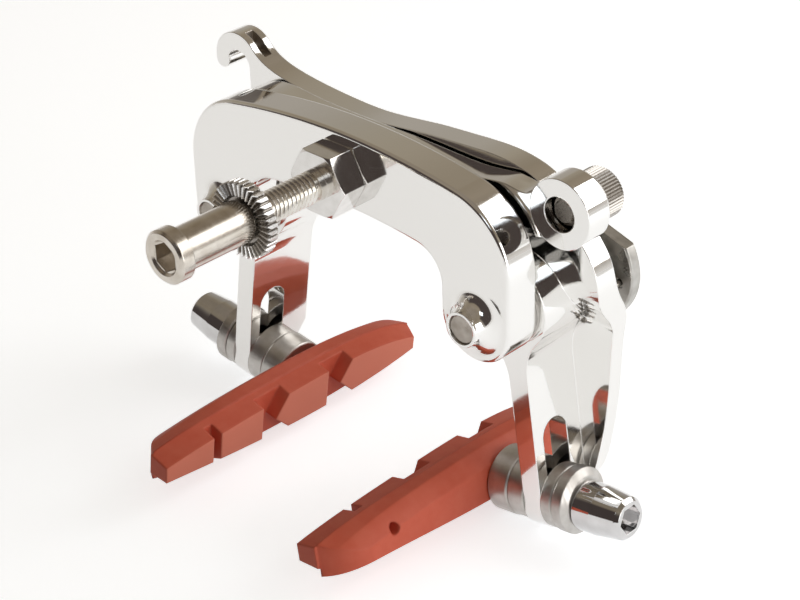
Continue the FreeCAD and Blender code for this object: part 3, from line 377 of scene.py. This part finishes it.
def inside_box(tree, centre, size):
    """One inside an upright box, whose centre and size are in millimetres, and nought outside."""
    place = add_node(tree, "ShaderNodeTexCoord", {}, {}).outputs["Object"]
    offset = add_node(tree, "ShaderNodeVectorMath", {"operation": "SUBTRACT"}, {
        0: place, 1: [value * MM for value in centre]})
    reach = add_node(tree, "ShaderNodeVectorMath", {"operation": "ABSOLUTE"}, {0: offset.outputs[0]})
    outside = add_node(tree, "ShaderNodeVectorMath", {"operation": "SUBTRACT"}, {
        0: reach.outputs[0], 1: [value * MM / 2 for value in size]})
    parts = add_node(tree, "ShaderNodeSeparateXYZ", {}, {"Vector": outside.outputs[0]}).outputs
    wider = add_node(tree, "ShaderNodeMath", {"operation": "MAXIMUM"}, {0: parts["X"], 1: parts["Y"]})
    most = add_node(tree, "ShaderNodeMath", {"operation": "MAXIMUM"}, {
        0: wider.outputs[0], 1: parts["Z"]})
    inside = add_node(tree, "ShaderNodeMath", {"operation": "LESS_THAN"}, {0: most.outputs[0], 1: 0.0})
    return inside.outputs[0]


# Cloth-wheel polish: a soft mirror that shows the room, with waves and hairlines in it
alloy, tree = empty_material("polished forged aluminium")
waves = add_node(tree, "ShaderNodeBump", {}, {
    "Height": grain(tree, WAVE_SIZE), "Strength": WAVE_STRENGTH, "Distance": WAVE_DEPTH,
    "Normal": rounded_normal(tree, EDGE_ROUND)})
hairs = grain(tree, HAIRLINE_SIZE, stretch=HAIRLINE_STRETCH)
lines = add_node(tree, "ShaderNodeBump", {}, {
    "Height": hairs, "Strength": HAIRLINE_STRENGTH, "Distance": HAIRLINE_DEPTH,
    "Normal": waves.outputs[0]})
# Inside the cable slot: rougher, and darker with painted shade
in_slot = inside_box(tree, CABLE_SLOT_CENTRE, CABLE_SLOT_SIZE)
tint = add_node(tree, "ShaderNodeMix", {"data_type": "RGBA"}, {
    0: in_slot, 6: colour(POLISHED_TINT), 7: colour(SLOT_SHADE_TINT)})
dullness = add_node(tree, "ShaderNodeMath", {"operation": "MULTIPLY_ADD"}, {
    0: in_slot, 1: MILLED_ROUGHNESS, 2: between(tree, hairs, POLISHED_ROUGHNESS)})
shader = add_node(tree, "ShaderNodeBsdfPrincipled", {}, {
    "Base Color": tint.outputs[2], "Metallic": 1.0, "Roughness": dullness.outputs[0],
    "Normal": lines.outputs[0]})
add_node(tree, "ShaderNodeOutputMaterial", {}, {"Surface": shader.outputs[0]})
print("edge rounding in mm:", EDGE_ROUND / MM)

# %% [markdown]
# The small parts are steel, and each finish comes from how it was made. Turned parts keep fine
# rings round their axis. Zinc plating is a soft grey, nickel plating is warmer, and a polished nut
# is nearly as bright as the arms. Each could have a node tree of its own, but they differ only in
# their two tints, their roughness, their rings and the rounding of their edges, so that one
# function makes them all.

# %% Steels and bronze
RING_STRETCH = (16.0, 1.0, 16.0)
RING_STRENGTH = 0.25
CLOUD_SIZE = 2.5
ROUGHNESS_SPREAD = (0.8, 1.25)


def turned_metal(name, tint, dark_tint, roughness, ring, edge=0.25, depth=0.004):
    """Metal turned on a lathe: fine rings across its axis, and a tint that varies a little.

    The size and depth of the rings and the rounding of the edges are in millimetres.
    """
    material, tree = empty_material(name)
    rings = grain(tree, ring, stretch=RING_STRETCH)
    cloud = between(tree, grain(tree, CLOUD_SIZE), (0.0, 1.0))
    blend = add_node(tree, "ShaderNodeMix", {"data_type": "RGBA"}, {
        0: cloud, 6: colour(tint), 7: colour(dark_tint)})
    bump = add_node(tree, "ShaderNodeBump", {}, {
        "Height": rings, "Strength": RING_STRENGTH, "Distance": depth * MM,
        "Normal": rounded_normal(tree, edge * MM)})
    sheen = between(tree, rings, [roughness * share for share in ROUGHNESS_SPREAD])
    shader = add_node(tree, "ShaderNodeBsdfPrincipled", {}, {
        "Base Color": blend.outputs[2], "Metallic": 1.0, "Roughness": sheen,
        "Normal": bump.outputs[0]})
    add_node(tree, "ShaderNodeOutputMaterial", {}, {"Surface": shader.outputs[0]})
    return material


# Nickel on the cut threads: pale and warm, with crests that stay crisp
thread_nickel = turned_metal("nickel plated thread", "#F0EDE8", "#DFDAD2", 0.22, 0.30, edge=0.06)
# Turned and nickel plated: the long nut is a warm satin tube
nut_nickel = turned_metal("turned nickel plated steel", "#DCD6CE", "#CBC3B8", 0.20, 0.16)
# Chrome plating on the pad nuts: a clear mirror, which takes up the dark side of the room
pad_chrome = turned_metal("polished chrome plate", "#D8D7D7", "#D0CFCF", 0.05, 0.30, edge=0.15,
                          depth=0.0005)
# Bright plating on the polished collar: nearly as bright as the arms
nut_bright = turned_metal("bright plated steel", "#E8E6E4", "#DCDAD7", 0.12, 0.30, depth=0.002)
# Zinc on tumbled washers: an even satin grey
washer_zinc = turned_metal("satin zinc plated steel", "#CDCAC6", "#B9B5B0", 0.38, 0.30, edge=0.4)
# Pin ends are ground steel, and a little darker
pin_ground = turned_metal("ground steel", "#B5AEA6", "#978F86", 0.30, 0.30)
# The adjusters are stamped and tumbled: a cloudy grey satin
adjuster_satin = turned_metal("tumbled steel", "#C4C2BE", "#A9A6A1", 0.34, 0.40)
# Drawn spring wire: a dark sheen along the coils
spring_wire = turned_metal("drawn stainless wire", "#A8A49E", "#8D8880", 0.28, 0.40)
# Sintered bronze bushes: a dull brownish gold
bush_bronze = turned_metal("sintered bronze", "#B98F57", "#9A7443", 0.45, 0.35)
print("steels:", len([item for item in bpy.data.materials if "steel" in item.name]))

# %% [markdown]
# The pads are moulded rubber with iron oxide in it, which gives the brick red. A moulded skin is
# half matt and slightly mottled. The friction face is painted paler than the rest, as painted sheen
# of the light that grazes it. The mask for it could be painted on the mesh, but the distance along
# the pad's post, which is tilted like the lug, gives it without any picture.

# %% Moulded red rubber
LUG_TILT = math.radians(8.28)
POST_X = 37.65 * MM
POST_Z = -60.0 * MM
FRICTION_FACE = -19.30 * MM
FACE_SKIN = 0.12 * MM
MOTTLED_RED = "#CE624A"
# Paler red of the friction face: painted sheen
PAINTED_SHEEN_RED = "#D97B63"
RUBBER_MOTTLE = 3.0
RUBBER_GRAIN = 0.22
RUBBER_GRAIN_STRENGTH = 0.25
RUBBER_GRAIN_DEPTH = 0.03 * MM
RUBBER_EDGE_ROUND = 0.70 * MM
RUBBER_ROUGHNESS = (0.48, 0.60)
RUBBER_IOR = 1.5
RUBBER_SPECULAR = 0.35


def moulded_rubber(name, side):
    """Red rubber for the pad at one side; the face that meets the rim is painted paler, as painted
    sheen.
    """
    material, tree = empty_material(name)
    place = add_node(tree, "ShaderNodeTexCoord", {}, {}).outputs["Object"]
    outward = (side * math.cos(LUG_TILT), 0.0, math.sin(LUG_TILT))
    along = add_node(tree, "ShaderNodeVectorMath", {"operation": "DOT_PRODUCT"}, {0: place, 1: outward})
    start = POST_X * math.cos(LUG_TILT) + POST_Z * math.sin(LUG_TILT)
    # Mask of the friction face, which gets the painted sheen
    sheen_mask = add_node(tree, "ShaderNodeMapRange", {}, {
        "Value": along.outputs["Value"], "From Min": start + FRICTION_FACE + FACE_SKIN,
        "From Max": start + FRICTION_FACE, "To Min": 0.0, "To Max": 1.0})
    mottle = between(tree, grain(tree, RUBBER_MOTTLE, detail=4.0), (0.0, 1.0))
    body = add_node(tree, "ShaderNodeMix", {"data_type": "RGBA"}, {
        0: mottle, 6: colour(BRICK_RED), 7: colour(MOTTLED_RED)})
    skin = add_node(tree, "ShaderNodeMix", {"data_type": "RGBA"}, {
        0: sheen_mask.outputs["Result"], 6: body.outputs[2], 7: colour(PAINTED_SHEEN_RED)})
    fine = grain(tree, RUBBER_GRAIN, detail=3.0)
    bump = add_node(tree, "ShaderNodeBump", {}, {
        "Height": fine, "Strength": RUBBER_GRAIN_STRENGTH, "Distance": RUBBER_GRAIN_DEPTH,
        "Normal": rounded_normal(tree, RUBBER_EDGE_ROUND)})
    shader = add_node(tree, "ShaderNodeBsdfPrincipled", {}, {
        "Base Color": skin.outputs[2], "Roughness": between(tree, fine, RUBBER_ROUGHNESS),
        "IOR": RUBBER_IOR, "Specular IOR Level": RUBBER_SPECULAR, "Normal": bump.outputs[0]})
    add_node(tree, "ShaderNodeOutputMaterial", {}, {"Surface": shader.outputs[0]})
    return material


# Brick red rubber: half matt, with a slight mottle and a friction face made paler by painted sheen
rubber = {
    "right": moulded_rubber("moulded brick red rubber right", 1),
    "left": moulded_rubber("moulded brick red rubber left", -1),
}
print("rubber grain in mm:", RUBBER_GRAIN)

# %% [markdown]
# The solids from the frame already have the brake's shapes. Each one only gets its finish, through
# its material slots, and its mesh isn't touched. Parts that come in pairs have their side at the
# end of their name. Three of the solids are replaced below, and get a finish here all the same.

# %% Finishes of the solids
FINISHES = {
    "back_plate": alloy,
    "hook_arm": alloy,
    "anchor_arm": alloy,
    "mounting_stud": thread_nickel,
    "recessed_nut": nut_nickel,
    "serrated_washer": nut_nickel,
    "anchor_bolt": nut_nickel,
    "anchor_washer": washer_zinc,
    "pivot_pin": pin_ground,
    "pivot_bush": bush_bronze,
    "thrust_washer": washer_zinc,
    "arm_washer": washer_zinc,
    "return_spring": spring_wire,
    "spring_adjuster": adjuster_satin,
    "pivot_screw": adjuster_satin,
    "inner_spacer": washer_zinc,
    "inner_washer": washer_zinc,
    "outer_washer": washer_zinc,
    "outer_spacer": washer_zinc,
    "pad_post": thread_nickel,
    "pad_nut": pad_chrome,
}

for name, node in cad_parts.items():
    kind, _, side = name.rpartition("_")
    if kind == "brake_pad":
        finish = rubber[side]
    else:
        finish = FINISHES.get(name) or FINISHES[kind]
    for slot in node.material_slots:
        slot.material = finish
print("dressed:", len(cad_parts))

# %% [markdown]
# The mounting stud starts with a hexagonal collar, and the rest of it is threaded. The solid is a
# plain rod there, so it is replaced by two new pieces. The collar could be drawn again, but it is
# right as it is in the frame, so a copy of the solid is cut off just behind the collar's rear face.
# The cut is closed, and triangles that lie in one plane are joined.

# %% Collar of the stud
MERGE = 0.001 * MM
COLLAR_REAR = -0.02 * MM
FLAT_ANGLE = math.radians(1)


def new_piece(name, shape, material):
    """Turns a bmesh into an object with one material."""
    mesh = bpy.data.meshes.new(name)
    shape.to_mesh(mesh)
    shape.free()
    mesh.materials.append(material)
    piece = bpy.data.objects.new(name, mesh)
    bpy.context.scene.collection.objects.link(piece)
    return piece


collar = bmesh.new()
collar.from_mesh(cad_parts["mounting_stud"].data)
bmesh.ops.remove_doubles(collar, verts=collar.verts, dist=MERGE)
whole = collar.verts[:] + collar.edges[:] + collar.faces[:]
bmesh.ops.bisect_plane(collar, geom=whole, dist=MERGE, plane_co=(0, COLLAR_REAR, 0),
                       plane_no=(0, 1, 0), clear_inner=True)
bmesh.ops.holes_fill(collar, edges=[edge for edge in collar.edges if edge.is_boundary], sides=0)
bmesh.ops.dissolve_limit(collar, angle_limit=FLAT_ANGLE, verts=collar.verts, edges=collar.edges)
print("collar faces:", len(collar.faces))
collar_piece = new_piece("stud_collar", collar, nut_bright)
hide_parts("mounting_stud")
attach(collar_piece, "plate")

# %% [markdown]
# The thread is M6, with 1 mm from crest to crest. A bump pattern could stand for it, but the crests
# show in the outline of the stud. So one crest's section is drawn, and spin carries it round the
# axis while it climbs, so that each turn meets the next one: a true helix and not a stack of rings.
# In front it is cut off, where an undercut and a plain neck lead to the collar.

# %% Thread of the stud
THREAD_PITCH = 1.0 * MM
THREAD_CREST = 3.0 * MM
THREAD_ROOT = 2.42 * MM
THREAD_STEPS = 28
THREAD_TURNS = 29
THREAD_START = -30.0 * MM
THREAD_PROFILE = [
    (0.0, 0.0),
    (0.10, 0.08),
    (0.44, 0.96),
    (0.50, 1.0),
    (0.56, 0.96),
    (0.90, 0.08),
    (1.0, 0.0),
]
NECK_LENGTH = 1.5 * MM
UNDERCUT_END = 2.1 * MM
UNDERCUT_RADIUS = 2.3 * MM
ROD_SIDES = 64
QUARTER_TURN = math.radians(90)
CREASE_ANGLE = math.radians(25)


def add_thread(shape, start, turns):
    """Adds a helical thread round the Y axis that climbs from a start towards +Y."""
    places = [(THREAD_ROOT + rise * (THREAD_CREST - THREAD_ROOT), start + step * THREAD_PITCH)
              for step, rise in THREAD_PROFILE]
    corners = [shape.verts.new((radius, depth, 0.0)) for radius, depth in places]
    edges = [shape.edges.new(pair) for pair in zip(corners, corners[1:])]
    bmesh.ops.spin(shape, geom=corners + edges, cent=(0, 0, 0), axis=(0, 1, 0),
                   dvec=(0, THREAD_PITCH / THREAD_STEPS, 0), angle=-2 * math.pi * turns,
                   steps=THREAD_STEPS * turns)
    bmesh.ops.remove_doubles(shape, verts=shape.verts, dist=MERGE)


def add_rod(shape, radius, rear, front):
    """Adds a closed cylinder that lies on the Y axis."""
    place = Matrix.Translation((0, (rear + front) / 2, 0)) @ Matrix.Rotation(QUARTER_TURN, 4, "X")
    bmesh.ops.create_cone(shape, cap_ends=True, segments=ROD_SIDES, radius1=radius, radius2=radius,
                          depth=front - rear, matrix=place)


thread = bmesh.new()
add_thread(thread, THREAD_START, THREAD_TURNS)
whole = thread.verts[:] + thread.edges[:] + thread.faces[:]
bmesh.ops.bisect_plane(thread, geom=whole, dist=MERGE, plane_co=(0, -UNDERCUT_END, 0),
                       plane_no=(0, 1, 0), clear_outer=True)
bmesh.ops.holes_fill(thread, edges=[edge for edge in thread.edges if edge.is_boundary], sides=0)
bmesh.ops.recalc_face_normals(thread, faces=thread.faces)
add_rod(thread, UNDERCUT_RADIUS, -UNDERCUT_END - NECK_LENGTH, 0.0)
add_rod(thread, THREAD_CREST, -NECK_LENGTH, 0.0)
print("thread faces:", len(thread.faces))
thread_piece = new_piece("stud_thread", thread, thread_nickel)
for face in thread_piece.data.polygons:
    face.use_smooth = True
thread_piece.data.set_sharp_from_angle(angle=CREASE_ANGLE)
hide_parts("mounting_stud")
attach(thread_piece, "plate")

# %% [markdown]
# The serrated washer bites into the bicycle's frame. Its teeth are pressed: on the face each one
# slopes from a sharp ridge down to the next, and on the rim a flat land stands beside a notch. They
# could be cut from a disc, one by one, but it is simpler to let the disc's section rise and fall.
# Each corner of the section is given twice, by its radius and its depth in millimetres: as it is at
# a crest, and as it is in a valley. A ring of points is made at every corner, six to each tooth,
# and each point is moved inwards and down by its own share. Bridging the rings gives the surface.

# %% Shape of the serrated washer
TOOTH_COUNT = 36
TOOTH_SHARES = [(0.0, 0.0), (0.0, 0.33), (0.0, 0.67), (0.0, 1.0), (1.0, 1.0), (1.0, 0.5)]
WASHER_BORE = 3.20
WASHER_SEAT = -17.95
WASHER_CREST = -18.95
WASHER_FRONT = -16.25
WASHER_SECTION = [
    ((WASHER_BORE, WASHER_SEAT), (WASHER_BORE, WASHER_SEAT)),
    ((4.35, WASHER_SEAT), (4.35, WASHER_SEAT)),
    ((4.75, WASHER_CREST + 0.15), (4.75, WASHER_SEAT - 0.3)),
    ((7.10, WASHER_CREST), (6.80, WASHER_SEAT - 0.1)),
    ((7.25, WASHER_CREST + 0.15), (6.80, WASHER_SEAT + 0.1)),
    ((7.25, WASHER_FRONT - 0.15), (6.80, WASHER_FRONT - 0.15)),
    ((7.10, WASHER_FRONT), (6.75, WASHER_FRONT)),
    ((WASHER_BORE, WASHER_FRONT), (WASHER_BORE, WASHER_FRONT)),
]


def toothed_ring(shape, teeth, shares, crest, valley):
    """Ring of points round the Y axis; a point's shares say how far it is inwards and down."""
    lying = Matrix.Rotation(-QUARTER_TURN, 4, "X")
    made = bmesh.ops.create_circle(shape, segments=len(shares) * teeth, radius=MM, matrix=lying)["verts"]
    for count, corner in enumerate(made):
        inwards, down = shares[count % len(shares)]
        corner.co *= crest[0] + inwards * (valley[0] - crest[0])
        corner.co.y = (crest[1] + down * (valley[1] - crest[1])) * MM
    return [edge for edge in shape.edges if edge.verts[0] in made and edge.verts[1] in made]


def toothed_body(teeth, shares, section, hollow):
    """Closed body of revolution with teeth, from (crest, valley) pairs along its section."""
    shape = bmesh.new()
    rings = [toothed_ring(shape, teeth, shares, crest, valley) for crest, valley in section]
    for ring, following in zip(rings, rings[1:]):
        bmesh.ops.bridge_loops(shape, edges=ring + following)
    if hollow:
        bmesh.ops.bridge_loops(shape, edges=rings[-1] + rings[0])
    else:
        bmesh.ops.holes_fill(shape, edges=rings[0] + rings[-1], sides=0)
    bmesh.ops.recalc_face_normals(shape, faces=shape.faces)
    return shape


washer = toothed_body(TOOTH_COUNT, TOOTH_SHARES, WASHER_SECTION, hollow=True)
print("washer teeth:", TOOTH_COUNT, "faces:", len(washer.faces))

# %% [markdown]
# The washer's hardened steel is dark in its valleys, as painted shade, and bright on its ridges and
# the lands of its rim, as painted highlights. This could be painted on the mesh, but the shape
# already says where they go: a land by its distance from the washer's axis, and a ridge by its depth.

# %% Steel with painted light and serrated washer
STEEL_GRAIN = 0.4
STEEL_ROUGHNESS = (0.22, 0.34)
STEEL_EDGE_ROUND = 0.03 * MM
TOOTH_LAND = (7.00, 7.12)
TOOTH_RIDGE = (WASHER_CREST + 0.32, WASHER_CREST + 0.20)


def highlit_steel(name, axis, land, ridge, dark, bright):
    """Steel with painted shade, and painted highlights where it stands out: on the lands of a rim, and
    on ridges.

    The lands are found by their distance from an axis along Y, and the ridges by their depth. Both
    are spans in millimetres, from where the painted highlight starts to where it is complete.
    """
    material, tree = empty_material(name)
    place = add_node(tree, "ShaderNodeTexCoord", {}, {}).outputs["Object"]
    depth = add_node(tree, "ShaderNodeSeparateXYZ", {}, {"Vector": place}).outputs["Y"]
    offset = add_node(tree, "ShaderNodeVectorMath", {"operation": "SUBTRACT"}, {0: place, 1: axis})
    flat = add_node(tree, "ShaderNodeVectorMath", {"operation": "MULTIPLY"}, {
        0: offset.outputs[0], 1: (1, 0, 1)})
    radius = add_node(tree, "ShaderNodeVectorMath", {"operation": "LENGTH"}, {0: flat.outputs[0]})
    on_ridge = add_node(tree, "ShaderNodeMapRange", {}, {
        "Value": depth, "From Min": ridge[0] * MM, "From Max": ridge[1] * MM})
    on_land = add_node(tree, "ShaderNodeMapRange", {}, {
        "Value": radius.outputs["Value"], "From Min": land[0] * MM, "From Max": land[1] * MM})
    # Painted highlight on ridges and lands; elsewhere the dark tint is painted shade
    highlit = add_node(tree, "ShaderNodeMath", {"operation": "MAXIMUM"}, {
        0: on_ridge.outputs["Result"], 1: on_land.outputs["Result"]})
    tint = add_node(tree, "ShaderNodeMix", {"data_type": "RGBA"}, {
        0: highlit.outputs[0], 6: colour(dark), 7: colour(bright)})
    shader = add_node(tree, "ShaderNodeBsdfPrincipled", {}, {
        "Base Color": tint.outputs[2], "Metallic": 1.0,
        "Roughness": between(tree, grain(tree, STEEL_GRAIN), STEEL_ROUGHNESS),
        "Normal": rounded_normal(tree, STEEL_EDGE_ROUND)})
    add_node(tree, "ShaderNodeOutputMaterial", {}, {"Surface": shader.outputs[0]})
    return material


# Hardened steel: painted highlights on ridges and lands, painted shade in the dull grey valleys
# Dark tint: painted shade in the valleys; bright tint: painted highlight on ridges and lands
tooth_steel = highlit_steel("hardened steel with painted light on its teeth", (0, 0, 0), TOOTH_LAND, TOOTH_RIDGE,
                           "#99948E", "#E6E5E4")
washer_piece = new_piece("serrated_washer_teeth", washer, tooth_steel)
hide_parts("serrated_washer")
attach(washer_piece, "clamp_washer")
print("rubbed ridges in mm:", [round(depth, 2) for depth in TOOTH_RIDGE])

# %% [markdown]
# The cable bolt's head has a straight knurl, so that fingers can hold it while the cable is set.
# Its ridges are finer than the ones on the solid, so the bolt is made again in the same way as the
# washer: rings of crest and valley points, bridged from the stepped rear end over the head to the
# floor of the key socket in the head's face.

# %% Knurled cable bolt
KNURL_COUNT = 48
KNURL_SHARES = [(0.0, 0.0), (1.0, 1.0)]
KNURL_LAND = (4.48, 4.62)
SOCKET_RIM = (25.70, 25.78)
BOLT_AXIS = (45.3 * MM, 0.0, 4.1 * MM)
BOLT_SECTION = [
    ((1.20, 14.65), (1.20, 14.65)),
    ((1.90, 14.65), (1.90, 14.65)),
    ((2.20, 14.95), (2.20, 14.95)),
    ((2.20, 15.60), (2.20, 15.60)),
    ((2.75, 15.60), (2.75, 15.60)),
    ((3.00, 15.85), (3.00, 15.85)),
    ((3.00, 20.25), (3.00, 20.25)),
    ((4.45, 20.25), (4.45, 20.25)),
    ((4.60, 20.40), (4.60, 20.40)),
    ((4.60, 21.10), (4.60, 21.10)),
    ((4.75, 21.25), (4.38, 21.25)),
    ((4.75, 25.40), (4.38, 25.40)),
    ((4.30, 25.80), (4.20, 25.80)),
    ((2.40, 25.80), (2.40, 25.80)),
    ((2.10, 25.50), (2.10, 25.50)),
    ((2.10, 23.00), (2.10, 23.00)),
]

bolt = toothed_body(KNURL_COUNT, KNURL_SHARES, BOLT_SECTION, hollow=False)
bmesh.ops.translate(bolt, verts=bolt.verts, vec=BOLT_AXIS)
# Knurled steel: painted shade in its valleys, and painted highlights on the knurl's lands and the head's
# face
knurl_steel = highlit_steel("knurled plated steel", BOLT_AXIS, KNURL_LAND, SOCKET_RIM,
                           "#7E7871", "#B4B1AD")
bolt_piece = new_piece("knurled_bolt", bolt, knurl_steel)
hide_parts("anchor_bolt")
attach(bolt_piece, "cable_bolt")
print("knurl ridges:", KNURL_COUNT)

# %% [markdown]
# The last cell prints a closing line.

# %% End
print("scene done")
